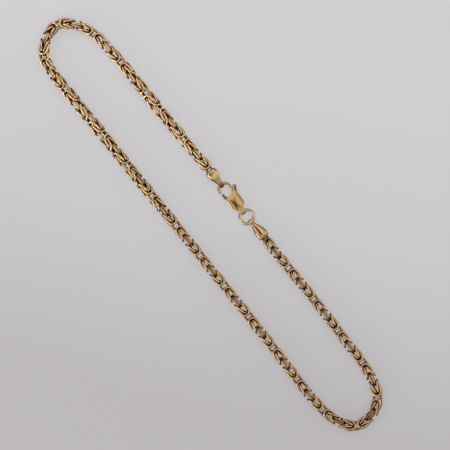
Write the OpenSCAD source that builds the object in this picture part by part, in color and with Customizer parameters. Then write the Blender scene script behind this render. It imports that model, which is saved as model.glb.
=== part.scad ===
// Byzantine neck chain with two end caps, a jump ring and a lobster clasp.
// It lies closed on a flat surface as a long narrow loop. Millimetres, +Z up, the surface at z = 0.
// X runs along the loop, and the origin is at the middle of its outline.

/* [Loop] */
// Length of the lying loop, along the middle of the chain
loop_l = 211.3; // [190:0.1:232]
// Width of the lying loop, between the middles of its long sides
loop_w = 26.9; // [24:0.1:34]

/* [Chain] */
// Width of the chain across its links
chain_w = 4.8; // [4.2:0.1:6]
// Clear space between the links and the mouth of an end cap
mouth_gap = 0.3; // [0.2:0.05:0.6]
// Length over which the last links narrow towards a cap
end_taper = 1.4; // [0.8:0.1:2.5]

/* [End caps] */
// Length of the cap on the clasp side, from its mouth to the middle of its eye
clasp_cap_l = 7.6; // [7:0.1:8.5]
// Length of the cap on the jump ring side, from its mouth to the middle of its eye
ring_cap_l = 8.5; // [7:0.1:9.5]
// Width of a cap at its fullest
cap_w = 4.9; // [4.3:0.1:5.2]
// Height of a cap at its fullest
cap_h = 4.3; // [4:0.1:4.6]
// Width of the hole in the mouth of a cap
bore_d = 3.3; // [2.6:0.1:3.4]
// Depth of the hole in the mouth of a cap
bore_l = 2; // [1.4:0.1:3]
// Side clearance of the chain in that hole
bore_gap = 0.25; // [0.2:0.05:0.4]

/* [Eyes] */
// Width of an eye along its hole
eye_w = 1.8; // [1.4:0.1:2]
// Side clearance of the wire in the hole of an eye
eye_gap = 0.3; // [0.26:0.01:0.4]
// Wall of an eye around its hole
eye_wall = 0.35; // [0.3:0.05:0.5]

/* [Jump ring] */
// Outer width of the jump ring
ring_od = 7.2; // [7:0.1:8.5]
// Thickness of the jump ring wire
ring_wire = 1.3; // [1:0.1:1.4]

/* [Clasp] */
// Radius of the hook, to the middle of its wire
hook_r = 2.45; // [2.35:0.05:2.6]
// Thickness of the hook wire
hook_wire = 1.25; // [0.9:0.05:1.3]
// Distance along the clasp from the middle of the hook to the middle of the tail eye
tail_x = 12.1; // [11.8:0.1:13.5]
// Width of the clasp body
body_w = 6.1; // [5.8:0.1:6.6]
// Thickness of the clasp body
body_t = 3.2; // [2.9:0.1:3.8]

/* [Lever] */
// Thickness of the lever
lever_t = 0.8; // [0.6:0.1:1]
// Clearance of the lever in its slot
slot_gap = 0.12; // [0.08:0.02:0.2]
// Thickness of the hinge pin
pin_d = 1; // [0.8:0.1:1.2]
// Clearance between the lever and the hinge pin, on the radius
pin_gap = 0.05; // [0.02:0.01:0.08]
// Clearance between the body and the hinge pin, on the radius
rivet_gap = 0.02; // [0.01:0.01:0.05]
// Width of the thumb nub
nub_d = 1.5; // [1.2:0.1:1.8]
// Thickness of the thumb nub
nub_t = 1.4; // [1:0.1:1.6]
// Angle through which the lever opens
swing = 25; // [15:1:25]

/* [Hidden] */
$fn = 64;
sliver = 0.01;
fine_arc = 256;

// Middle of the chain as drawn, in x and y, from the cap on the clasp side round to the cap on the ring side
ROUTE = [
  [-26.5, 11.8], [-43, 11.6], [-59.5, 11.6], [-76, 11.6], [-83.9, 11.2], [-92.5, 10.6],
  [-99.9, 7.3], [-105.7, 1.6], [-104.2, -6.4], [-98.7, -12.4], [-90.5, -13.6], [-82.5, -13.7],
  [-66, -13.6], [-49.5, -13.6], [-33, -13.7], [-16.5, -13.7], [0, -13.7], [16.5, -13.9],
  [33, -13.9], [49, -14.1], [65.5, -14.5], [82, -14.9], [90.5, -14.6], [98.2, -12.8],
  [105.6, -7.9], [105.6, 1], [101, 7.7], [93.1, 10.2], [85, 11.2], [76.5, 11.3],
  [60, 11.8], [43.5, 12], [27, 11.9]
];
route_steps = 2;
tube_sides = 12;

// The drawn route is stretched to the loop's own length and width
function reach(i) = max([for (p = ROUTE) p[i]]) - min([for (p = ROUTE) p[i]]);
function stretched(p) = [p[0] * loop_l / reach(0), p[1] * loop_w / reach(1)];

// Moves the route and the clasp so that the outline's middle is the origin
loop_shift = [-0.375, 0.212];

// Clasp body, in its own frame with the middle of the hook at the origin and x towards the tail
body_mid_y = 0.62;
belly_x = 7;
belly_r = 20;
throat_x = 3.4;
throat_r = hook_r - hook_wire / 2;
shoulder = [[-1, -0.8], [throat_x - 0.1, -0.6], [throat_x + 0.55, -2.4], [throat_x + 0.55, -6], [-1, -6]];
tail_slope = [[tail_x - 2.7, body_w / 2 - 0.2], [tail_x - 0.9, 1.25]];
leg_x = 2.4;
ramp_start = leg_x - 0.5;
ramp_top = body_t / 2 + 0.1;
ramp = [[ramp_start, hook_wire / 2], [4.2, 1.15], [5.8, ramp_top], [2 * tail_x, ramp_top]];
long_dome_r = 20.8;
cross_dome_r = 5.5;
hook_end = 270;
tail_neck_l = 1.6;

// Where the jump ring lies, and the turn of each piece that is linked to it
ring_at = stretched([7.7, 11.9]) + loop_shift;
clasp_turn = -3.5;
clasp_cap_turn = -1;
ring_cap_turn = 3;
tail_seat = 180;
cap_seat = 0;
hook_seat = 182.5;

// Heights
chain_z = chain_w / 2;
clasp_z = body_t / 2;

// Jump ring and the eyes that its wire passes through
ring_r = (ring_od - ring_wire) / 2;
eye_hole_r = max(ring_wire, hook_wire) / 2 + eye_gap;
eye_r = eye_hole_r + eye_wall;

// A wire that bends through a straight hole lies a little inside its own radius
function wire_in_eye(r) = (r + sqrt(r * r - eye_w * eye_w / 4)) / 2;
function polar(r, a) = [r * cos(a), r * sin(a)];
function turned(p, a) = polar(p[0], a) + polar(p[1], a + 90);

// A cap slopes from the middle height of the chain down to the height of the clasp
cap_drop = chain_z - clasp_z;
function cap_reach(l) = sqrt(l * l - cap_drop * cap_drop);

tail_at = ring_at + polar(wire_in_eye(ring_r), tail_seat);
hook_at = tail_at - turned([tail_x, body_mid_y], clasp_turn);
ring_eye_at = ring_at + polar(wire_in_eye(ring_r), cap_seat);
hook_eye_at = hook_at + polar(wire_in_eye(hook_r), hook_seat);
clasp_mouth_at = hook_eye_at - polar(cap_reach(clasp_cap_l), clasp_cap_turn);
ring_mouth_at = ring_eye_at + polar(cap_reach(ring_cap_l), ring_cap_turn);

// Cap outline: a row for each section, its place and its half width as shares of the length and half width
CAP_ROWS = [
  [0, 0.83], [0.06, 0.94], [0.14, 1], [0.28, 1], [0.4, 0.95], [0.52, 0.83], [0.64, 0.67], [0.76, 0.52],
  [0.86, 0.44], [0.94, 0.42]
];
cap_place = 0;
cap_share = 1;
cap_round = 1.16;
neck_end = CAP_ROWS[len(CAP_ROWS) - 1][cap_place];

// Lever, in the same frame: the pivot, the gate and the horn with its thumb nub
pivot = [6, 0.6];
hub_r = 1.25;
gate_elbow = [3.1, -2.1];
gate_elbow_r = 0.55;
gate_tip = [1.7, -2.05];
gate_tip_r = 0.5;
horn_elbow = [3.85, 3.1];
horn_elbow_r = 0.5;
nub_at = [1.4, 4.2];
horn_neck_r = 0.48;
slot_t = lever_t + 2 * slot_gap;
swing_steps = 5;
limb_steps = 16;
pin_l = body_t - 0.2;

// Sweep of the chain's tube
function spline(a, b, c, d, t) =
  0.5 * (2 * b + (c - a) * t + (2 * a - 5 * b + 4 * c - d) * t * t + (3 * b - 3 * c + d - a) * t * t * t);
function unit(v) = v / norm(v);

// One ring of the tube: points around a centre, square to a direction in the plane of the floor
function tube_ring(at, along, r) = [
  for (i = [0 : tube_sides - 1])
    let (a = 360 * (i + 0.5) / tube_sides, side = [-along[1], along[0]])
      [at[0] + side[0] * r * cos(a), at[1] + side[1] * r * cos(a), chain_z + r * sin(a)]
];

module tube(rings) {
  count = len(rings);
  points = [for (ring = rings) each ring];
  walls = [
    for (k = [0 : count - 2], i = [0 : tube_sides - 1])
      let (j = (i + 1) % tube_sides, a = k * tube_sides, b = a + tube_sides)
        each [[a + i, b + i, a + j], [a + j, b + i, b + j]]
  ];
  first = [for (i = [0 : tube_sides - 1]) i];
  last = [for (i = [tube_sides - 1 : -1 : 0]) (count - 1) * tube_sides + i];
  polyhedron(points, concat([first], walls, [last]));
}

module chain() {
  full_r = chain_w / 2 / cos(180 / tube_sides);
  neck_r = bore_d / 2 - bore_gap;
  neck_in = bore_l / 2;
  first_way = polar(1, clasp_cap_turn + 180);
  last_way = polar(1, ring_cap_turn + 180);
  // Each end: inside the cap, at its mouth, and where the links reach their full width
  head = [[-neck_in, neck_r], [mouth_gap, neck_r], [mouth_gap + end_taper, full_r]];
  head_rings = [for (h = head) tube_ring(clasp_mouth_at + first_way * h[0], first_way, h[1])];
  tail_rings = [
    for (i = [len(head) - 1 : -1 : 0])
      tube_ring(ring_mouth_at - last_way * head[i][0], last_way, head[i][1])
  ];
  way = concat([clasp_mouth_at], [for (p = ROUTE) stretched(p) + loop_shift], [ring_mouth_at]);
  middle_rings = [
    for (k = [1 : len(way) - 3], s = [0 : route_steps - 1])
      let (
        a = way[k - 1], b = way[k], c = way[k + 1], d = way[k + 2], t = s / route_steps,
        at = spline(a, b, c, d, t),
        along = unit(spline(a, b, c, d, t + sliver) - spline(a, b, c, d, t - sliver))
      )
        tube_ring(at, along, full_r)
  ];
  last_along = unit(way[len(way) - 1] - way[len(way) - 3]);
  last_ring = tube_ring(way[len(way) - 2], last_along, full_r);
  color("goldenrod") tube(concat(head_rings, middle_rings, [last_ring], tail_rings));
}

// Eye: a band round a hole along y, its middle at the origin
module eye_band() { rotate([90, 0, 0]) cylinder(r = eye_r, h = eye_w, center = true); }
module eye_hole() { rotate([90, 0, 0]) cylinder(r = eye_hole_r, h = 3 * eye_w, center = true); }

// End cap with its mouth at the origin and its eye at x = cap_l
module cap_outline(cap_l, size) {
  polygon(concat(
    [for (row = CAP_ROWS) [row[cap_place] * cap_l, row[cap_share] * size / 2]],
    [[neck_end * cap_l, 0], [0, 0]]
  ));
}

module cap_slab(cap_l, size) {
  linear_extrude(2 * cap_w, center = true) {
    cap_outline(cap_l, size);
    mirror([0, 1, 0]) cap_outline(cap_l, size);
  }
}

module end_cap(cap_l) {
  difference() {
    union() {
      intersection() {
        cap_slab(cap_l, cap_w);
        rotate([90, 0, 0]) cap_slab(cap_l, cap_h);
        rotate([90, 0, 90]) rotate_extrude() mirror([1, -1, 0]) cap_outline(cap_l, cap_round * cap_w);
      }
      translate([cap_l, 0, 0]) eye_band();
    }
    translate([-sliver, 0, 0]) rotate([0, 90, 0]) cylinder(d = bore_d, h = bore_l + sliver);
    translate([cap_l, 0, 0]) eye_hole();
  }
}

module place_cap(mouth, turn, cap_l) {
  translate([mouth[0], mouth[1], chain_z]) rotate([0, asin(cap_drop / cap_l), turn]) end_cap(cap_l);
}

module end_cap_clasp() { color("darkkhaki") place_cap(clasp_mouth_at, clasp_cap_turn, clasp_cap_l); }
module end_cap_ring() { color("darkkhaki") place_cap(ring_mouth_at, ring_cap_turn + 180, ring_cap_l); }

module jump_ring() {
  color("khaki")
    translate([ring_at[0], ring_at[1], clasp_z])
      rotate_extrude() translate([ring_r, 0]) circle(d = ring_wire);
}

// Clasp pieces share one frame: the middle of the hook at the origin, x towards the tail
module place_clasp() { translate([hook_at[0], hook_at[1], clasp_z]) rotate([0, 0, clasp_turn]) children(); }

// Room for one side of the body: straight to its corner, then sloping to the tail eye
module body_half() {
  corner = tail_slope[0];
  end = tail_slope[1];
  polygon([[leg_x, -sliver], [leg_x, body_w], [corner[0], body_w], corner, end, [end[0], -sliver]]);
}

module body_plan() {
  belly_y = body_w / 2 - belly_r;
  difference() {
    intersection() {
      translate([belly_x, body_mid_y + belly_y]) circle(belly_r, $fn = fine_arc);
      translate([belly_x, body_mid_y - belly_y]) circle(belly_r, $fn = fine_arc);
      translate([0, body_mid_y]) {
        body_half();
        mirror([0, 1, 0]) body_half();
      }
    }
    translate([throat_x - throat_r, 0]) circle(throat_r);
    translate([0, -throat_r]) square([throat_x - throat_r, 2 * throat_r]);
    polygon(shoulder);
  }
}

// Side view of the body: the ramp from the hook's wire, under a long dome
module body_profile() {
  lower = [for (i = [len(ramp) - 1 : -1 : 0]) [ramp[i][0], -ramp[i][1]]];
  middle_x = (throat_x + tail_x) / 2;
  intersection() {
    polygon(concat(ramp, lower));
    translate([middle_x, body_t / 2 - long_dome_r]) circle(long_dome_r, $fn = fine_arc);
    translate([middle_x, long_dome_r - body_t / 2]) circle(long_dome_r, $fn = fine_arc);
  }
}

module body_cushion() {
  intersection() {
    linear_extrude(2 * body_t, center = true) body_plan();
    rotate([90, 0, 0]) linear_extrude(4 * body_w, center = true) body_profile();
    translate([0, body_mid_y, body_t / 2 - cross_dome_r])
      rotate([0, 90, 0]) cylinder(r = cross_dome_r, h = 2 * tail_x, $fn = fine_arc);
    translate([0, body_mid_y, cross_dome_r - body_t / 2])
      rotate([0, 90, 0]) cylinder(r = cross_dome_r, h = 2 * tail_x, $fn = fine_arc);
  }
}

// The hook: a half turn of wire with a round tip, and the straight bar that runs from it into the body
module hook() {
  rotate([0, 0, 90]) rotate_extrude(angle = hook_end - 90) translate([hook_r, 0]) circle(d = hook_wire);
  translate([0, hook_r, 0]) rotate([0, 90, 0]) cylinder(d = hook_wire, h = throat_x);
  translate([0, -hook_r, 0]) rotate([0, 90, 0]) rotate_extrude()
    intersection() {
      circle(d = hook_wire);
      square(hook_wire);
    }
}

// One arm of the lever: the outline round two round ends, all grown by a clearance
function arc(at, r, from, to) = [
  for (i = [0 : limb_steps]) at + polar(r, from + (to - from) * i / limb_steps)
];

module limb(p, q, p_r, q_r, grow) {
  along = q - p;
  base = atan2(along[1], along[0]);
  lean = acos((p_r - q_r) / norm(along));
  polygon(concat(
    arc(q, q_r + grow, base - lean, base + lean),
    arc(p, p_r + grow, base + lean, base + 360 - lean)
  ));
}

module lever_plan(grow) {
  limb(pivot, gate_elbow, hub_r, gate_elbow_r, grow);
  limb(gate_elbow, gate_tip, gate_elbow_r, gate_tip_r, grow);
  limb(pivot, horn_elbow, hub_r, horn_elbow_r, grow);
  limb(horn_elbow, nub_at, horn_elbow_r, horn_neck_r, grow);
}

// The thumb nub: a round knob with sloping edges
module nub() {
  edge = nub_t / 3;
  rotate_extrude()
    polygon([
      [0, -nub_t / 2], [nub_d / 2 - edge, -nub_t / 2], [nub_d / 2, edge - nub_t / 2],
      [nub_d / 2, nub_t / 2 - edge], [nub_d / 2 - edge, nub_t / 2], [0, nub_t / 2]
    ]);
}

module lever_slot() {
  linear_extrude(slot_t, center = true)
    for (i = [0 : swing_steps])
      translate(pivot) rotate(-swing * i / swing_steps) translate(-pivot) lever_plan(slot_gap);
}

module clasp_body() {
  color("goldenrod")
    place_clasp()
      difference() {
        union() {
          body_cushion();
          hook();
          translate([tail_x, body_mid_y, 0]) eye_band();
          translate([tail_x - tail_neck_l, body_mid_y - eye_w / 2, -eye_hole_r])
            cube([tail_neck_l, eye_w, 2 * eye_hole_r]);
        }
        lever_slot();
        translate([tail_x, body_mid_y, 0]) eye_hole();
        translate(pivot) cylinder(d = pin_d + 2 * rivet_gap, h = 2 * body_t, center = true);
      }
}

module clasp_lever() {
  color("peru")
    place_clasp()
      difference() {
        union() {
          linear_extrude(lever_t, center = true) lever_plan(0);
          translate(nub_at) nub();
        }
        translate(pivot) cylinder(d = pin_d + 2 * pin_gap, h = 2 * body_t, center = true);
      }
}

module clasp_pin() {
  color("silver") place_clasp() translate(pivot) cylinder(d = pin_d, h = pin_l, center = true);
}

chain();
end_cap_clasp();
end_cap_ring();
jump_ring();
clasp_body();
clasp_lever();
clasp_pin();
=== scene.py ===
import math
import bpy
import numpy as np
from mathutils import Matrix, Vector


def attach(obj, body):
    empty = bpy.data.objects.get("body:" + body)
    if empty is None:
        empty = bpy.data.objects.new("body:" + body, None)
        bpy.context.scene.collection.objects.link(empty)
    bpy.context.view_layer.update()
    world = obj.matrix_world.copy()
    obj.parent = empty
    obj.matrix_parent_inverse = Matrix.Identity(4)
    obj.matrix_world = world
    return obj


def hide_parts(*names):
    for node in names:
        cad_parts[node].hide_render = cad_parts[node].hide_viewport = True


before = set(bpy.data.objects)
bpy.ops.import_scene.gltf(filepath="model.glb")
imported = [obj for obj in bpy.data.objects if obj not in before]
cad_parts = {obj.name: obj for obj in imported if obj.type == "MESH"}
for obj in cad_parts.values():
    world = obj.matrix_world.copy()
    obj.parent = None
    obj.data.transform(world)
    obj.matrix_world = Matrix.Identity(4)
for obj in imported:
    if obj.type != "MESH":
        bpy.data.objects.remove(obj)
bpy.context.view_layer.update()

mm = 0.001  # pieces are made in millimetres and scaled to metres
print("model loaded:", ", ".join(sorted(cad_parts)))

scene = bpy.context.scene

# The camera looks straight down on the lying chain, turned as in the photograph
viewUser = {
    "height": 850.0, "middle": (4.170, 2.769), "turn": 51.01, "sensor": 36.0,
    "width": 189.9, "plane": 2.4,  # it sees this width at this height above the floor
    "near": 0.02, "far": 20.0,     # in metres
}

def makeCamera(user):
    data = bpy.data.cameras.new("overhead_camera")
    data.sensor_width = user["sensor"]
    data.lens = user["sensor"] * (user["height"] - user["plane"]) / user["width"]
    data.clip_start, data.clip_end = user["near"], user["far"]
    camera = bpy.data.objects.new("overhead_camera", data)
    camera.location = (user["middle"][0] * mm, user["middle"][1] * mm, user["height"] * mm)
    camera.rotation_euler = (0.0, 0.0, math.radians(user["turn"]))
    scene.collection.objects.link(camera)
    scene.camera = camera

makeCamera(viewUser)
scene.view_settings.view_transform = "Standard"
scene.view_settings.look = "None"


class Wire:
    # One output socket of a finish. An expression on it adds Math nodes
    def __init__(self, finish, socket):
        self.finish, self.socket = finish, socket

    def maths(self, operation, first, second):
        return self.finish.node("ShaderNodeMath", {"operation": operation}, {0: first, 1: second}, "Value")

    def __add__(self, other):
        return self.maths("ADD", self, other)

    def __radd__(self, other):
        return self.maths("ADD", other, self)

    def __sub__(self, other):
        return self.maths("SUBTRACT", self, other)

    def __rsub__(self, other):
        return self.maths("SUBTRACT", other, self)

    def __mul__(self, other):
        return self.maths("MULTIPLY", self, other)

    def __rmul__(self, other):
        return self.maths("MULTIPLY", other, self)


class Finish:
    # One node tree: a material's, or the surround's
    def __init__(self, tree):
        self.tree = tree
        tree.nodes.clear()

    def node(self, kind, settings=None, sockets=None, out=0):
        # The node's settings are set first, then its sockets' values and links
        made = self.tree.nodes.new(kind)
        for name, value in (settings or {}).items():
            if name == "stops":
                ramp = made.color_ramp
                while len(ramp.elements) < len(value):
                    ramp.elements.new(0.5)
                for stop, (place, colour) in zip(ramp.elements, value):
                    stop.position, stop.color = place, colour
            else:
                setattr(made, name, value)
        for name, value in (sockets or {}).items():
            if isinstance(value, Wire):
                self.tree.links.new(value.socket, made.inputs[name])
            else:
                made.inputs[name].default_value = value
        return Wire(self, made.outputs[out]) if made.outputs else None

    def noise(self, place, scale, detail, roughness=0.5):
        sockets = {"Vector": place, "Scale": scale, "Detail": detail, "Roughness": roughness}
        return self.node("ShaderNodeTexNoise", None, sockets)

    def dot(self, place, way):
        return self.node("ShaderNodeVectorMath", {"operation": "DOT_PRODUCT"}, {0: place, 1: way}, "Value")

    def blend(self, share, first, second):
        # Colours are mixed by a Mix node: sockets 6 and 7 are its colours, and output 2 the result
        return self.node("ShaderNodeMix", {"data_type": "RGBA"}, {0: share, 6: first, 7: second}, 2)

    def ramp(self, value, stops):
        grey = [(place, (level, level, level, 1.0)) for place, level in stops]
        return self.node("ShaderNodeValToRGB", {"stops": grey}, {"Fac": value}, "Color")

    def bump(self, height, strength, depth):
        sockets = {"Strength": strength, "Distance": depth, "Height": height}
        return self.node("ShaderNodeBump", None, sockets, "Normal")


def newFinish(name):
    material = bpy.data.materials.new(name)
    material.use_nodes = True
    return material, Finish(material.node_tree)

def solid(colour):
    return (*colour, 1.0)


# Five golds: the links are bright outside and brown inside, the brown being painted shade, and the other
# parts differ a little in tone
goldUser = {
    "link_gold": {
        "bright": (0.585, 0.42, 0.215), "rosy": (0.585, 0.37, 0.215), "dark": (0.085, 0.026, 0.004),
        "patch": 260.0, "polish": 0.15, "dull": 0.45, "scratch": 0.05,
    },
    "cap_gold_finish": {
        "bright": (0.45, 0.35, 0.14), "rosy": (0.46, 0.325, 0.155), "dark": (0.11, 0.055, 0.02),
        "patch": 190.0, "polish": 0.18, "dull": 0.34, "scratch": 0.04,
    },
    "rosy_cap_finish": {
        "bright": (0.46, 0.315, 0.172), "rosy": (0.47, 0.295, 0.188), "dark": (0.14, 0.06, 0.022),
        "patch": 190.0, "polish": 0.30, "dull": 0.45, "scratch": 0.04,
    },
    "clasp_gold_finish": {
        "bright": (0.415, 0.30, 0.13), "rosy": (0.425, 0.28, 0.145), "dark": (0.11, 0.06, 0.022),
        "patch": 210.0, "polish": 0.14, "dull": 0.28, "scratch": 0.04,
    },
    "ring_gold_finish": {
        "bright": (0.46, 0.41, 0.215), "rosy": (0.47, 0.39, 0.22), "dark": (0.11, 0.085, 0.03),
        "patch": 190.0, "polish": 0.12, "dull": 0.28, "scratch": 0.04,
    },
}

# What all golds share: their rosy patches, smudges and fine handling scratches
wearUser = {
    "rosyFrom": 0.40, "rosyTo": 0.62, "patchDetail": 2.0, "patchRoughness": 0.55,
    "smudgeFiner": 5.0, "smudgeDetail": 4.0, "smudgeRoughness": 0.6,
    "rubbedPolish": 0.7, "smudgePolish": 0.3,
    "scratchTurn": (0.0, 0.0, 0.7), "scratchDrawn": (1.0, 14.0, 6.0),
    "scratchScale": 900.0, "scratchDetail": 3.0, "scratchRoughness": 0.7,
    "scratchRelief": 0.4, "smudgeRelief": 0.6, "depth": 0.00004,
}

def makeGold(name, user, wear):
    material, paint = newFinish(name)
    place = paint.node("ShaderNodeTexCoord", out="Object")
    patches = paint.noise(place, user["patch"], wear["patchDetail"], wear["patchRoughness"])
    smudges = paint.noise(place, user["patch"] * wear["smudgeFiner"],
                          wear["smudgeDetail"], wear["smudgeRoughness"])
    rosyShare = paint.ramp(patches, [(wear["rosyFrom"], 0.0), (wear["rosyTo"], 1.0)])
    colour = paint.blend(rosyShare, solid(user["bright"]), solid(user["rosy"]))
    # Each mesh says where it is rubbed bright and free of painted shade. Elsewhere it is dull and brown, as
    # painted shade
    rubbed = paint.node("ShaderNodeAttribute", {"attribute_name": "rubbed"}, None, "Fac")
    # The dark colour is painted shade
    colour = paint.blend(rubbed, solid(user["dark"]), colour)
    dullShare = 1.0 - rubbed * wear["rubbedPolish"] - smudges * wear["smudgePolish"]
    roughness = user["polish"] + (user["dull"] - user["polish"]) * dullShare
    # The scratches are drawn out one way, over a faint casting unevenness
    drawn = paint.node("ShaderNodeMapping", None,
                       {"Vector": place, "Rotation": wear["scratchTurn"], "Scale": wear["scratchDrawn"]})
    scratches = paint.noise(drawn, wear["scratchScale"], wear["scratchDetail"], wear["scratchRoughness"])
    relief = scratches * wear["scratchRelief"] + smudges * wear["smudgeRelief"]
    bump = paint.bump(relief, user["scratch"], wear["depth"])
    shader = paint.node("ShaderNodeBsdfPrincipled", None,
                        {"Base Color": colour, "Metallic": 1.0, "Roughness": roughness, "Normal": bump})
    paint.node("ShaderNodeOutputMaterial", None, {"Surface": shader})
    return material

golds = {name: makeGold(name, user, wearUser) for name, user in goldUser.items()}
print("gold finishes made")


def meshPiece(name, points, faces, finish, node=None, body=None):
    # A piece from points in millimetres
    mesh = bpy.data.meshes.new(name)
    mesh.from_pydata((np.asarray(points, float) * mm).tolist(), [], faces)
    mesh.validate()
    mesh.update()
    return pieceOf(name, mesh, finish, node, body)

def pieceOf(name, mesh, finish, node, body):
    mesh.polygons.foreach_set("use_smooth", [True] * len(mesh.polygons))
    mesh.materials.clear()
    mesh.materials.append(finish)
    piece = bpy.data.objects.new(name, mesh)
    scene.collection.objects.link(piece)
    if node:
        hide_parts(node)
    if body:
        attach(piece, body)
    return piece

def tubeFaces(rows, sides):
    # The faces of a tube closed both ways: points go round its section first, then along it
    i, j = np.meshgrid(np.arange(rows), np.arange(sides), indexing="ij")
    nextI, nextJ = (i + 1) % rows, (j + 1) % sides
    corners = [i * sides + j, nextI * sides + j, nextI * sides + nextJ, i * sides + nextJ]
    return np.stack(corners, -1).reshape(-1, 4)

def eachPoint(mesh, what):
    # The place or the normal of every point of a mesh
    values = np.empty(len(mesh.vertices) * 3)
    mesh.vertices.foreach_get(what, values)
    return values.reshape(-1, 3)

def wayOf(angle):
    # The direction on the floor of an angle in degrees
    return np.array([math.cos(math.radians(angle)), math.sin(math.radians(angle))])


# Surfaces that don't face up are browner, as painted shade: from how steep a side on, and how soon fully
sideUser = {"startsAt": 0.45, "over": 0.6}

def shadeBySlope(up, depth):
    return depth * np.clip((sideUser["startsAt"] - up) / sideUser["over"], 0, 1)

def sideShade(piece, depth):
    return shadeBySlope(eachPoint(piece.data, "normal")[:, 2], depth)

def storeRubbedAndLit(piece, values):
    # Stores how far each point of a mesh is rubbed bright and free of painted shade, from 0 to 1
    shine = piece.data.attributes.new("rubbed", "FLOAT", "POINT")
    shine.data.foreach_set("value", np.asarray(values, np.float32))


# A plain pale paper floor with faint clouding. It glows with painted light of its own, so shadows on it
# stay faint, and its colour and glow fall off towards one corner as painted shade
floorUser = {
    "half": 3000.0, "level": -0.08, "tiles": 8,
    "pale": (0.1305, 0.1280, 0.1310), "dim": (0.101, 0.0972, 0.1000), "glow": 3.68, "roughness": 0.75,
    "slope": (-4.2, 5.1, 0.0), "middle": 0.5, "fall": [(0.0, 0.0), (0.5, 0.68), (1.0, 1.0)],
    "clouds": 0.08, "cloudScale": 9.0, "cloudDetail": 3.0,
    "grain": 0.08, "grainScale": 2600.0, "grainDetail": 2.0, "grainDepth": 0.0001,
}

def makeFloor(user):
    material, paint = newFinish("paper_floor")
    place = paint.node("ShaderNodeTexCoord", out="Object")
    clouds = paint.noise(place, user["cloudScale"], user["cloudDetail"])
    grain = paint.noise(place, user["grainScale"], user["grainDetail"])
    across = paint.dot(place, user["slope"])
    level = paint.ramp(across + user["middle"] + (clouds - 0.5) * user["clouds"], user["fall"])
    # Painted shade towards one corner. The same colour is the floor's painted glow
    colour = paint.blend(level, solid(user["dim"]), solid(user["pale"]))
    bump = paint.bump(grain, user["grain"], user["grainDepth"])
    shader = paint.node("ShaderNodeBsdfPrincipled", None,
                        {"Base Color": colour, "Roughness": user["roughness"], "Normal": bump,
                         "Emission Color": colour, "Emission Strength": user["glow"]})
    paint.node("ShaderNodeOutputMaterial", None, {"Surface": shader})
    tiles, row = user["tiles"], user["tiles"] + 1
    edge = np.linspace(-user["half"], user["half"], row)
    corners = [(x, y, user["level"]) for y in edge for x in edge]
    starts = [j * row + i for j in range(tiles) for i in range(tiles)]
    floor = meshPiece("paper_floor", corners, [(s, s + 1, s + row + 1, s + row) for s in starts], material)

makeFloor(floorUser)


# Soft studio light: a surround that brightens upwards, with the camera's dark shape in it, and three boxes.
# Directions count from the picture's right side, and tilts from straight up
lightUser = {
    "dome": [(0.0, 0.03), (0.2, 0.05), (0.4, 0.20), (0.6, 0.70), (0.8, 1.30), (1.0, 1.30)],
    "tint": (1.0, 0.985, 0.98),
    "cameraAround": 219.0, "cameraTilt": 14.0,
    "cameraSize": (9.0, 24.0),  # dark within the first angle, and faded out at the second
    "cameraColour": (0.20, 0.12, 0.07),
    "boxFar": 1000.0,
    "boxes": [  # name, direction, tilt, size, power, colour
        ("right_box", 10.0, 74.0, (900.0, 260.0), 2.8, (1.0, 0.98, 0.95)),
        ("left_box", 218.0, 70.0, (900.0, 260.0), 5.4, (1.0, 0.98, 0.96)),
        ("head_box", 129.0, 52.0, (700.0, 260.0), 1.5, (1.0, 0.97, 0.93)),
    ],
}

def towards(around, tilt):
    turn, lean = math.radians(around + viewUser["turn"]), math.radians(tilt)
    return Vector((math.sin(lean) * math.cos(turn), math.sin(lean) * math.sin(turn), math.cos(lean)))

def makeSurround(user):
    world = bpy.data.worlds.new("studio_surround")
    scene.world = world
    world.use_nodes = True
    paint = Finish(world.node_tree)
    sky = paint.node("ShaderNodeTexCoord", out="Generated")
    height = paint.dot(sky, (0.0, 0.0, 1.0))
    level = paint.node("ShaderNodeVectorMath", {"operation": "MULTIPLY"},
                       {0: paint.ramp(height, user["dome"]), 1: user["tint"]}, "Vector")
    beside = paint.dot(sky, towards(user["cameraAround"], user["cameraTilt"]))
    near, wide = (math.cos(math.radians(angle)) for angle in user["cameraSize"])
    hidden = paint.node("ShaderNodeMapRange", {"interpolation_type": "SMOOTHSTEP"},
                        {"Value": beside, "From Min": wide, "From Max": near}, "Result")
    colour = paint.blend(hidden, level, solid(user["cameraColour"]))
    glow = paint.node("ShaderNodeBackground", None, {"Color": colour, "Strength": 1.0})
    paint.node("ShaderNodeOutputWorld", None, {"Surface": glow})

def makeBoxes(user):
    for name, around, tilt, size, power, colour in user["boxes"]:
        lamp = bpy.data.lights.new(name, "AREA")
        lamp.shape, lamp.size, lamp.size_y = "RECTANGLE", size[0] * mm, size[1] * mm
        lamp.energy, lamp.color = power, colour
        box = bpy.data.objects.new(name, lamp)
        away = towards(around, tilt)
        box.location = away * user["boxFar"] * mm
        box.rotation_mode = "QUATERNION"
        box.rotation_quaternion = away.to_track_quat("Z", "Y")
        scene.collection.objects.link(box)

makeSurround(lightUser)
makeBoxes(lightUser)
print("camera, floor and light made")


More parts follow.
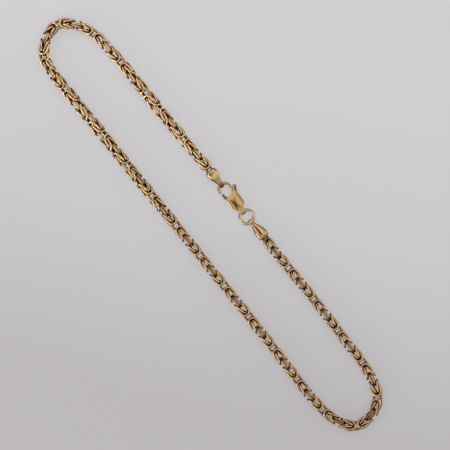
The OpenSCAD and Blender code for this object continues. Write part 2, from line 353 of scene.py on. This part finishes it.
# The chain: oval rings of wire in knots of four, which pairs of joining rings hold together
chainUser = {
    # The wire's width and thickness, and how much thicker it is where it is soldered, over how many points
    "wire": (0.98, 0.90), "seam": 0.06, "seamReach": 1.2, "points": 36, "sides": 12,
    # A joining ring's length, width and squareness, and a knotted ring's width and squareness
    "joining": (5.75, 2.95, 2.3), "knotted": (3.5, 2.5),
    # Gaps between the middles of wires that cross, and of the two rings of a pair
    "ringGap": 0.97, "pairGap": 0.90,
    # How far a knot's rings stop short of the next joining pair, and how wide and late they spread round it
    "arch": 1.0, "spread": 1.73, "bow": 1.35,
    "knots": 50, "middle": 2.4, "halfHeight": 2.32, "clearOfFloor": 0.01,
    # Where the first and last joining pairs lie from the caps' mouths, and limits for the length of a knot
    "firstRing": 0.9, "lastRing": 0.3, "pitchBetween": (8.0, 8.5), "guesses": 40,
    # Worn joints have play: by knot, how far the pattern has slid along the chain
    "slide": [
        (0, -0.55), (1, -0.15), (2.5, 0.05), (5.5, 0.42), (8.5, 0.6), (10, 0.45), (12, 0), (14.5, -0.13),
        (16.5, -0.05), (19.5, 0.1), (22, -0.05), (25.5, -0.65), (29.5, -0.93), (33, -0.62), (36.5, -0.25),
        (40, -0.43), (42.5, -0.4), (44.5, 0.03), (46.5, 0.15), (48.5, 0.38), (50, 0.6),
    ],
    # By knot, how many degrees the chain is turned about its own line
    "twist": [
        (0, 6), (2, 18), (4.5, 47), (7, 79), (9, 88), (11, 94), (13, 101), (15, 120), (17, 137), (19, 147),
        (21, 156), (23, 168), (25, 180), (35, 180), (37.5, 168), (40, 168), (42.5, 180), (51, 180),
    ],
    # How far each ring is off its exact place, in millimetres, and off its exact turn, in degrees
    "loose": 0.02, "looseTurn": 1.2, "seed": 11,
    # Rubbed bright from this far out, and where the wire faces outwards. Inward, between the rings, is
    # painted shade. Less bright from one knot on, as painted shade
    "brightFrom": 1.3, "brightOver": 0.6, "faceFrom": -0.05, "faceOver": 0.6, "sideShade": 0.6,
    "fadeFrom": 17.0, "fadeOver": 8.0, "fade": 0.28, "fadeJoining": 0.55,
    # The rings are narrowed in the caps' mouths and browner there as painted shade, and the outermost ones
    # shortened
    "mouthNear": 12.0, "neckShare": 0.72, "neckReach": 2.5, "leastUnshaded": 0.3,
    "endRing": 1.7, "endSpread": 0.08, "endShare": 0.6,
    "claspMouth": (-17.589, 12.261), "claspTurn": 179.0, "ringMouth": (18.655, 12.555), "ringTurn": 183.0,
    # A bend moves out by its bow over this reach, divided by these parts
    "bendReach": 8.25, "bendParts": 15,
    # The line's two steps into each cap, its fineness, and how far its whole route is shifted
    "intoCap": (6, 3), "lineSteps": 60, "shift": (-0.375, 0.212),
    "route": [
        (-26.5, 11.8), (-43, 11.6), (-59.5, 11.6), (-76, 11.6), (-83.9, 11.2), (-92.5, 10.6), (-99.9, 7.3),
        (-105.7, 1.6), (-104.2, -6.4), (-98.7, -12.4), (-90.5, -13.6), (-82.5, -13.7), (-66, -13.6),
        (-49.5, -13.6), (-33, -13.7), (-16.5, -13.7), (0, -13.7), (16.5, -13.9), (33, -13.9), (49, -14.1),
        (65.5, -14.5), (82, -14.9), (90.5, -14.6), (98.2, -12.8), (105.6, -7.9), (105.6, 1), (101, 7.7),
        (93.1, 10.2), (85, 11.2), (76.5, 11.3), (60, 11.8), (43.5, 12), (27, 11.9),
    ],
    # The first and last knot of each piece
    "pieces": {"links_clasp_run": (0, 15), "links_long_run": (16, 33), "links_ring_run": (34, 50)},
}

def runOf(line):
    # How far each point of a line is along it
    return np.concatenate([[0], np.cumsum(np.linalg.norm(np.diff(line, axis=0), axis=1))])

def lineAt(line, run, s):
    return np.array([np.interp(s, run, line[:, 0]), np.interp(s, run, line[:, 1])])

def chainLine(user):
    # A smooth line from inside one cap, along the route, into the other cap
    firstWay, lastWay = wayOf(user["claspTurn"]), wayOf(user["ringTurn"])
    start, end = np.array(user["claspMouth"]), np.array(user["ringMouth"])
    deep, deeper = user["intoCap"]
    way = [start - deep * firstWay, start] + [np.array(p) + user["shift"] for p in user["route"]]
    way += [end, end + deep * lastWay]
    way = [way[0] - deeper * firstWay] + way + [way[-1] + deeper * lastWay]
    line = []
    for a, b, c, d in zip(way, way[1:], way[2:], way[3:]):
        for t in np.arange(0.0, 1.0, 1 / user["lineSteps"]):
            spot = 2 * b + (c - a) * t + (2 * a - 5 * b + 4 * c - d) * t * t
            line.append(0.5 * (spot + (3 * b - 3 * c + d - a) * t ** 3))
    line = np.array(line)
    run, reach = runOf(line), user["bendReach"]
    # Straight knots cut the bends, so their joints lie a little outside the middle of the chain
    before, after = lineAt(line, run, run - reach).T, lineAt(line, run, run + reach).T
    inside = (run > reach) & (run < run[-1] - reach)
    line = line - (before + after - 2 * line) / user["bendParts"] * inside[:, None]
    run = runOf(line)
    startRun, endRun = (run[np.argmin(np.linalg.norm(line - mouth, axis=1))] for mouth in (start, end))
    return line, run, startRun, endRun

def stepAlong(line, run, first, pitch, count):
    # Places an even straight step apart along the line
    places = [first]
    for step in range(count):
        here, ahead = lineAt(line, run, places[-1]), places[-1] + pitch
        for turn in range(8):  # enough to settle on an exact step
            ahead += pitch - np.linalg.norm(lineAt(line, run, ahead) - here)
        places.append(ahead)
    return places

def chainSpots(user):
    # The length of a knot that fits the whole number between the caps, and where each joining pair lies
    line, run, startRun, endRun = chainLine(user)
    first, last = startRun + user["firstRing"], endRun - user["lastRing"]
    shortest, longest = user["pitchBetween"]
    for guess in range(user["guesses"]):
        pitch = (shortest + longest) / 2
        places = stepAlong(line, run, first, pitch, user["knots"])
        if places[-1] < last:
            shortest = pitch
        else:
            longest = pitch
    print("chain pitch", round(pitch, 4), "mm")
    slide = np.array(user["slide"], float)
    slid = places + np.interp(range(len(places)), slide[:, 0], slide[:, 1])
    return pitch, [lineAt(line, run, s) for s in slid]

def ovalRing(length, width, squareness, count):
    # Points an even step apart round a squarish oval, which is measured in 2400 fine steps
    turn = np.linspace(0, 2 * math.pi, 2400, endpoint=False)
    x = length / 2 * np.sign(np.cos(turn)) * np.abs(np.cos(turn)) ** (2 / squareness)
    y = width / 2 * np.sign(np.sin(turn)) * np.abs(np.sin(turn)) ** (2 / squareness)
    x, y = np.append(x, x[0]), np.append(y, y[0])
    run = runOf(np.stack([x, y], 1))
    even = np.linspace(0, run[-1], count, endpoint=False)
    return np.interp(even, run, x), np.interp(even, run, y)

def wireRound(path, wire, sides, seam=0.0, seamReach=1.0):
    # A closed wire of this width and thickness round a closed path: its points, and the way each faces
    count = len(path)
    along = np.roll(path, -1, 0) - np.roll(path, 1, 0)
    along /= np.linalg.norm(along, axis=1)[:, None]
    flat = np.cross(path - path.mean(0), np.roll(path, -1, 0) - path).sum(0)
    out = np.cross(along, flat / np.linalg.norm(flat))
    out /= np.linalg.norm(out, axis=1)[:, None]
    up = np.cross(out, along)
    fromSeam = np.abs((np.arange(count) + count / 4) % count - count / 2)
    swell = 1 + seam * np.exp(-(fromSeam / seamReach) ** 2)
    turn = np.linspace(0, 2 * math.pi, sides, endpoint=False)
    across = np.cos(turn)[None, :, None] * out[:, None]
    upright = np.sin(turn)[None, :, None] * up[:, None]
    section = (across * wire[0] + upright * wire[1]) * swell[:, None, None] / 2
    return (path[:, None] + section).reshape(-1, 3), (across + upright).reshape(-1, 3)

def ringShapes(user, pitch):
    # The rings of one knot as wires. x runs along the chain from the joining pair, and y along its axis
    pair, spread, count = user["pairGap"] / 2, user["spread"], user["points"]
    x, y = ovalRing(*user["joining"], count)
    near, far = user["joining"][0] / 2 - user["ringGap"], pitch - user["arch"]
    u, v = ovalRing(far - near, *user["knotted"], count)
    lie = u + (near + far) / 2
    # Each pair of the knot is close together at the joining pair it holds, and spread round the next one
    opened = pair + (spread - pair) * np.clip((lie - near) / (far - near), 0, 1) ** user["bow"]
    # Short rings hold the chain's end to the cap
    short = (u - u.max()) * user["endRing"] / (far - near) - user["arch"]
    hold = spread * (1 + user["endSpread"] * (short + user["arch"]))
    paths = {}
    for side in (1, -1):
        paths["joining", side] = np.stack([x, np.full(count, side * pair), y], 1)
        paths["late", side] = np.stack([lie, v, side * opened], 1)
        paths["early", side] = np.stack([pitch - lie, side * opened, v], 1)
        paths["first", side] = np.stack([short, side * hold, v], 1)
    how = user["wire"], user["sides"], user["seam"], user["seamReach"]
    return {key: wireRound(path, *how) for key, path in paths.items()}, near

def mouthShare(user, places):
    # How much of its width a ring keeps near the mouths of the caps
    share, least = np.ones(len(places)), user["neckShare"]
    mouths = ((user["claspMouth"], wayOf(user["claspTurn"])), (user["ringMouth"], -wayOf(user["ringTurn"])))
    for mouth, into in mouths:
        beyond = places - np.array(mouth)
        ease = np.clip(beyond @ into / user["neckReach"], 0, 1)
        close = np.linalg.norm(beyond, axis=1) < user["mouthNear"]
        share = np.where(close, least + (1 - least) * ease * ease * (3 - 2 * ease), share)
    return share

def rubbedAndLitShare(user, kind, k, points, facing):
    # Rubbed bright where the wire lies far out and faces away from the chain's middle. Between the rings is
    # painted shade, and past one knot all of it gets more painted shade
    reach = np.hypot(points[:, 1], points[:, 2])
    outward = (facing[:, 1] * points[:, 1] + facing[:, 2] * points[:, 2]) / np.maximum(reach, 0.01)
    rubbed = np.clip((reach - user["brightFrom"]) / user["brightOver"], 0, 1)
    rubbed *= np.clip((outward - user["faceFrom"]) / user["faceOver"], 0, 1)
    fade = user["fadeJoining"] if kind == "joining" else user["fade"]
    return rubbed * (1 - fade * np.clip((k - user["fadeFrom"]) / user["fadeOver"], 0, 1))

def makeRings(user):
    # Every ring in its place: its knot, its points, and how far each of them is rubbed bright and free of
    # painted shade
    pitch, spots = chainSpots(user)
    tubes, near = ringShapes(user, pitch)
    ways = [(b - a) / np.linalg.norm(b - a) for a, b in zip(spots, spots[1:])]
    ways = [ways[0]] + ways + [ways[-1]]
    dice = np.random.default_rng(user["seed"])
    twist = np.array(user["twist"], float)
    # The pattern's half height at each turn, from 0 to 45 degrees. The chain is as high at every turn
    rolls = np.arange(0, 50, 5)
    every = np.concatenate([points for points, facing in tubes.values()])
    bulge = [np.abs(every[:, 1] * np.sin(t) + every[:, 2] * np.cos(t)).max() for t in np.radians(rolls)]

    def eased(k):
        # The chain's own twist, softened between the listed places
        return sum(np.interp(k + d, twist[:, 0], twist[:, 1]) for d in (-1.0, -0.5, 0.0, 0.5, 1.0)) / 5

    def laid(points, facing, k, spot, way, stretch):
        # The points on the floor, how far they are free of the painted shade in the caps' mouths, and how
        # far they face up
        roll = 90.0 * k + eased(k + points[:, 0] / pitch)
        c, s = np.cos(np.radians(roll)), np.sin(np.radians(roll))
        squash = user["halfHeight"] / np.interp(np.abs((roll + 45) % 90 - 45), rolls, bulge)
        aside = -points[:, 1] * s - points[:, 2] * c
        rise = (points[:, 1] * c - points[:, 2] * s) * squash
        ahead = spot[None] + points[:, :1] * stretch * way[None]
        share = mouthShare(user, ahead)
        flat = ahead + np.array([[-way[1], way[0]]]) * (aside * share)[:, None]
        height = user["middle"] + rise * share
        height = np.clip(height, user["clearOfFloor"], 2 * user["middle"] - user["clearOfFloor"])
        # Rings deep in a cap's mouth get painted shade
        unshaded = np.clip((share - user["neckShare"]) / (1 - user["neckShare"]), user["leastUnshaded"], 1)
        return np.column_stack([flat, height]), unshaded, facing[:, 1] * c - facing[:, 2] * s

    def ring(kind, side, k, spot, way, stretch=1.0):
        points, facing = tubes[kind, side]
        middle = points.mean(0)
        lean = np.radians(dice.normal(0, user["looseTurn"], 3))
        turnBy = np.array([[1, -lean[2], lean[1]], [lean[2], 1, -lean[0]], [-lean[1], lean[0], 1]])
        points = (points - middle) @ turnBy.T + middle + dice.normal(0, user["loose"], 3)
        if kind == "joining" and k in (0, user["knots"]):
            # The outermost rings are shortened to end inside the caps
            inner = points[:, 0] * (1 if k else -1) > 0
            points[:, 0] = np.where(inner, points[:, 0] * user["endShare"], points[:, 0])
        rubbed = rubbedAndLitShare(user, kind, k, points, facing)
        place, unshaded, up = laid(points, facing, k, spot, way, stretch)
        # Painted shade in the caps' mouths and on sides that don't face up
        return k, place, rubbed * unshaded * (1 - shadeBySlope(up, user["sideShade"]))

    rings = [ring("first", side, 0, spots[0], ways[0]) for side in (1, -1)]
    for k in range(user["knots"] + 1):
        before, after = ways[k], ways[k + 1]
        between = (before + after) / np.linalg.norm(before + after)
        corner = spots[k] + (after - before) * near / 2
        rings += [ring("joining", side, k, corner, between) for side in (1, -1)]
        if k < user["knots"]:
            stretch = np.linalg.norm(spots[k + 1] - spots[k]) / pitch
            for kind in ("late", "early"):
                rings += [ring(kind, side, k, spots[k], after, stretch) for side in (1, -1)]
    return rings

def makeChain(user):
    rings = makeRings(user)
    faces, size = tubeFaces(user["points"], user["sides"]), user["points"] * user["sides"]
    for name, (start, end) in user["pieces"].items():
        chosen = [(points, rubbed) for k, points, rubbed in rings if start <= k <= end]
        points = np.concatenate([points for points, rubbed in chosen])
        quads = np.concatenate([faces + n * size for n in range(len(chosen))]).tolist()
        piece = meshPiece(name, points, quads, golds["link_gold"], "chain", "necklace")
        storeRubbedAndLit(piece, np.concatenate([rubbed for points, rubbed in chosen]))
        print(name, len(chosen), "rings")

makeChain(chainUser)


def fused(name, parts, voxel, smoothing, finish, node, body):
    # Joins closed shapes into one cast piece: remeshed in millimetres, smoothed, then scaled to metres
    points, faces = [], []
    for partPoints, partFaces in parts:
        start = len(points)
        points += [tuple(p) for p in partPoints]
        faces += [tuple(start + i for i in face) for face in partFaces]
    mesh = bpy.data.meshes.new(name + "_draft")
    mesh.from_pydata(points, [], faces)
    mesh.update()
    draft = bpy.data.objects.new(name + "_draft", mesh)
    scene.collection.objects.link(draft)
    remesh = draft.modifiers.new("skin", "REMESH")
    remesh.mode, remesh.voxel_size, remesh.use_smooth_shade = "VOXEL", voxel, True
    smooth = draft.modifiers.new("polish", "SMOOTH")
    smooth.factor, smooth.iterations = 0.5, smoothing
    ready = bpy.data.meshes.new_from_object(draft.evaluated_get(bpy.context.evaluated_depsgraph_get()))
    bpy.data.objects.remove(draft)
    bpy.data.meshes.remove(mesh)
    ready.name = name
    ready.vertices.foreach_set("co", (eachPoint(ready, "co") * mm).ravel())
    ready.update()
    print(name, len(ready.polygons), "faces")
    return pieceOf(name, ready, finish, node, body)

def turned(profile, sides):
    # A closed shape turned round z from (radius, height) rows. The first and last radius are 0
    points = [(0.0, 0.0, profile[0][1])]
    angles = [2 * math.pi * s / sides for s in range(sides)]
    for radius, height in profile[1:-1]:
        points += [(radius * math.cos(a), radius * math.sin(a), height) for a in angles]
    points.append((0.0, 0.0, profile[-1][1]))
    rows = len(profile) - 2
    faces = [(0, 1 + (s + 1) % sides, 1 + s) for s in range(sides)]
    for r in range(rows - 1):
        a, b = 1 + r * sides, 1 + (r + 1) * sides
        faces += [(a + s, a + (s + 1) % sides, b + (s + 1) % sides, b + s) for s in range(sides)]
    last = 1 + (rows - 1) * sides
    faces += [(last + s, last + (s + 1) % sides, len(points) - 1) for s in range(sides)]
    return points, faces

def placed(shape, spot, turn=0.0, tilt=0.0):
    # tilt leans a shape nose down along x, and turn is about z
    points, faces = shape
    a, b = math.radians(tilt), math.radians(turn)
    moved = []
    for x, y, z in points:
        x, z = x * math.cos(a) + z * math.sin(a), -x * math.sin(a) + z * math.cos(a)
        x, y = x * math.cos(b) - y * math.sin(b), x * math.sin(b) + y * math.cos(b)
        moved.append((x + spot[0], y + spot[1], z + spot[2]))
    return moved, faces

def bandProfile(inner, outer, half, soft):
    # The rounded rectangle section of an eye's band, as (radius, height) all round
    section = []
    for cx, cz, start in ((outer - soft, half - soft, 0), (inner + soft, half - soft, 90),
                          (inner + soft, -half + soft, 180), (outer - soft, -half + soft, 270)):
        angles = [math.radians(start + 22.5 * step) for step in range(5)]
        section += [(cx + soft * math.cos(a), cz + soft * math.sin(a)) for a in angles]
    return section

def hoop(section, sides):
    # A section swept once round z
    angles = [2 * math.pi * s / sides for s in range(sides)]
    points = [(r * math.cos(a), r * math.sin(a), z) for a in angles for r, z in section]
    return points, tubeFaces(sides, len(section)).tolist()


# End caps: a pressed bud with a bore for the chain, an eye, and a pressed crease on one side
capUser = {
    "middle": 2.4, "drop": 0.8, "width": 5.04, "height": 4.38, "squareness": 3.3, "around": 96,
    # By share of its length from the mouth, the bud's share of its full width
    "rows": [
        (0, 0.83), (0.03, 0.90), (0.06, 0.94), (0.14, 1), (0.21, 1.01), (0.28, 1),
        (0.4, 0.95), (0.52, 0.83), (0.64, 0.67), (0.76, 0.52), (0.86, 0.44), (0.94, 0.42),
    ],
    "budEnd": 0.94, "budRows": 40, "bore": 1.65, "boreDepth": 2.0,
    "lip": [(0.0, 0.14), (0.05, 0.04), (0.12, 0.0)],  # how deep, and how much wider than the bore
    "eyeHole": 0.95, "eyeOuter": 1.3, "eyeHalf": 0.9, "eyeSoft": 0.12, "eyeSides": 72,
    # The crease is narrow at the neck and flares towards the mouth
    "creaseDepth": 0.8, "creaseWide": 0.28, "creaseFlare": (0.5, 1.3),
    # By share of the length, where it starts and ends, and how soon it is full
    "creaseStart": (0.03, 0.2), "creaseEnd": (0.93, 0.25),
    "voxel": 0.07, "smoothing": 5,
    # The painted shade in the crease is this much wider, and starts and ends by share of the length too
    "creaseShade": 0.6, "shadeWider": 1.3, "shadeStart": (0.06, 0.1), "shadeEnd": (1.02, 0.1),
    # Painted shade on sides that don't face up, in the mouth, and at the neck and the eye behind it
    "sideShade": 0.6, "mouthShade": 0.6, "mouthOver": 0.10,
    "neckAt": 1.0, "neckFull": 1.4, "neckOver": 0.2, "mostShade": 0.9,  # the neck and the eye behind it
}

def within(u, start, end):
    # Rises from 0 after one place and falls back to 0 before another. Each is a place and a reach
    return np.clip((u - start[0]) / start[1], 0, 1) * np.clip((end[0] - u) / end[1], 0, 1)

def budShape(user, length, creaseSide):
    rows = np.array(user["rows"])
    around = np.linspace(0, 2 * math.pi, user["around"], endpoint=False)
    c, s = np.cos(around), np.sin(around)
    narrow, flare = user["creaseFlare"]
    rings = []
    for u in np.linspace(user["budEnd"], 0.0, user["budRows"]):
        share = np.interp(u, rows[:, 0], rows[:, 1])
        y = user["width"] / 2 * share * np.sign(c) * np.abs(c) ** (2 / user["squareness"])
        z = user["height"] / 2 * share * np.sign(s) * np.abs(s) ** (2 / user["squareness"])
        wide = user["creaseWide"] * (narrow + flare * (1 - u))
        deep = user["creaseDepth"] * within(u, user["creaseStart"], user["creaseEnd"]) * share
        z = z - creaseSide * deep * np.exp(-(y / wide) ** 2) * (z * creaseSide > 0)
        rings.append(np.stack([np.full(len(c), u * length), y, z], 1))
    bore = [(x, user["bore"] + wider) for x, wider in user["lip"]] + [(user["boreDepth"], user["bore"])]
    rings += [np.stack([np.full(len(c), x), r * c, r * s], 1) for x, r in bore]
    ends = np.array([[user["budEnd"] * length, 0, 0], [user["boreDepth"], 0, 0]])
    n, count = user["around"], len(rings)
    faces = [(k * n + i, k * n + (i + 1) % n, (k + 1) * n + (i + 1) % n, (k + 1) * n + i)
             for k in range(count - 1) for i in range(n)]
    faces += [(count * n, (i + 1) % n, i) for i in range(n)]
    faces += [(count * n + 1, (count - 1) * n + i, (count - 1) * n + (i + 1) % n) for i in range(n)]
    return np.concatenate(rings + [ends]).tolist(), faces

def capShade(user, cap, spot, turn, length, creaseSide, neckShade):
    # How much painted shade each point of a cap gets: in the crease, at the neck and the eye behind it, in
    # the mouth and on sides that don't face up
    points = eachPoint(cap.data, "co") / mm - spot
    along, aside = points[:, :2] @ wayOf(turn) / length, points[:, :2] @ wayOf(turn + 90)
    wide = user["creaseWide"] * user["shadeWider"]
    crease = np.exp(-(aside / wide) ** 2) * (points[:, 2] * creaseSide > 0)
    crease *= within(along, user["shadeStart"], user["shadeEnd"])
    neck = np.clip(user["neckFull"] - np.abs(along - user["neckAt"]) / user["neckOver"], 0, 1)
    mouth = np.clip(1 - along / user["mouthOver"], 0, 1)
    shaded = crease * user["creaseShade"] + neck * neckShade + mouth * user["mouthShade"]
    return shaded + sideShade(cap, user["sideShade"])

def makeCap(user, name, node, finish, mouth, turn, length, creaseSide, neckShade):
    spot, tilt = (*mouth, user["middle"]), math.degrees(math.asin(user["drop"] / length))
    band = bandProfile(user["eyeHole"], user["eyeOuter"], user["eyeHalf"], user["eyeSoft"])
    points, faces = hoop(band, user["eyeSides"])
    eye = [(x + length, -z, y) for x, y, z in points], faces
    parts = [placed(shape, spot, turn, tilt) for shape in (budShape(user, length, creaseSide), eye)]
    cap = fused(name, parts, user["voxel"], user["smoothing"], finish, node, "necklace")
    shaded = capShade(user, cap, spot, turn, length, creaseSide, neckShade)
    # The cap's painted shade darkens its colour
    storeRubbedAndLit(cap, 1 - np.clip(shaded, 0, user["mostShade"]))

makeCap(capUser, "bud_cap_clasp_side", "end_cap_clasp", golds["cap_gold_finish"],
        chainUser["claspMouth"], turn=-1.0, length=7.6, creaseSide=-1, neckShade=0.9)
makeCap(capUser, "bud_cap_ring_side", "end_cap_ring", golds["rosy_cap_finish"],
        chainUser["ringMouth"], turn=183.0, length=8.5, creaseSide=1, neckShade=0.0)


# Jump ring: one turn of wire, closed and soldered
ringUser = {
    "middle": (7.325, 12.112, 1.6), "radius": 2.95, "wire": (1.3, 1.3), "points": 120, "sides": 28,
    "sideShade": 0.8,
}

def makeJumpRing(user):
    turn = np.linspace(0, 2 * math.pi, user["points"], endpoint=False)
    path = np.stack([user["radius"] * np.cos(turn), user["radius"] * np.sin(turn), np.zeros(len(turn))], 1)
    points, facing = wireRound(path, user["wire"], user["sides"])
    faces = tubeFaces(user["points"], user["sides"]).tolist()
    piece = meshPiece("soldered_jump_ring", points + user["middle"], faces, golds["ring_gold_finish"],
                      "jump_ring", "necklace")
    # Sides that don't face up get painted shade
    storeRubbedAndLit(piece, 1 - shadeBySlope(facing[:, 2], user["sideShade"]))

makeJumpRing(ringUser)


# Clasp: the model's body and lever with softened, tumbled edges, a round thumb nub and a domed rivet.
# Places are counted from the middle of the hook, with x towards the tail
claspUser = {
    "hook": (-7.670, 12.232, 1.6), "turn": -3.5, "pivot": (6.0, 0.6),
    "nub": (1.4, 4.08), "nubSize": (0.86, 0.78), "nubStep": 12, "nubSides": 28,
    "rivet": [
        (0.0, -1.5), (0.3, -1.49), (0.44, -1.44), (0.5, -1.34),
        (0.5, 1.34), (0.44, 1.44), (0.3, 1.49), (0.0, 1.5),
    ],
    "rivetSides": 32,
    "voxel": 0.06, "smoothing": 3, "leverVoxel": 0.05, "leverSmoothing": 1,
    "sideShade": 0.55, "leverDarker": 0.45, "leverSides": 0.8,
}

def softCopy(node):
    # The node's own shape in millimetres
    mesh = bpy.data.objects[node].data
    return [tuple(v.co / mm) for v in mesh.vertices], [tuple(p.vertices) for p in mesh.polygons]

def onClasp(user, place):
    x, y = np.array(user["hook"][:2]) + place[0] * wayOf(user["turn"]) + place[1] * wayOf(user["turn"] + 90)
    return x, y, user["hook"][2]

def nubProfile(user):
    # Half an oval from pole to pole
    radius, half = user["nubSize"]
    angles = [math.radians(a) for a in range(user["nubStep"], 180, user["nubStep"])]
    return [(0.0, -half)] + [(radius * math.sin(a), -half * math.cos(a)) for a in angles] + [(0.0, half)]

def makeClasp(user):
    finish = golds["clasp_gold_finish"]
    body = fused("cast_clasp_body", [softCopy("clasp_body")], user["voxel"], user["smoothing"], finish,
                 "clasp_body", "necklace")
    # Sides that don't face up get painted shade
    storeRubbedAndLit(body, 1 - sideShade(body, user["sideShade"]))
    nub = placed(turned(nubProfile(user), user["nubSides"]), onClasp(user, user["nub"]), user["turn"])
    shapes = [softCopy("clasp_lever"), nub]
    lever = fused("sprung_lever", shapes, user["leverVoxel"], user["leverSmoothing"], finish,
                  "clasp_lever", "lever")
    # The lever is darker all over, and its sides that don't face up get painted shade
    dull = user["leverDarker"]
    storeRubbedAndLit(lever, 1 - dull - sideShade(lever, 1 - dull) * user["leverSides"])
    rivet = turned(user["rivet"], user["rivetSides"])
    points, faces = placed(rivet, onClasp(user, user["pivot"]), user["turn"])
    pin = meshPiece("hinge_rivet", points, faces, finish, "clasp_pin", "necklace")
    storeRubbedAndLit(pin, np.ones(len(points)))

makeClasp(claspUser)
print("caps, ring and clasp made")
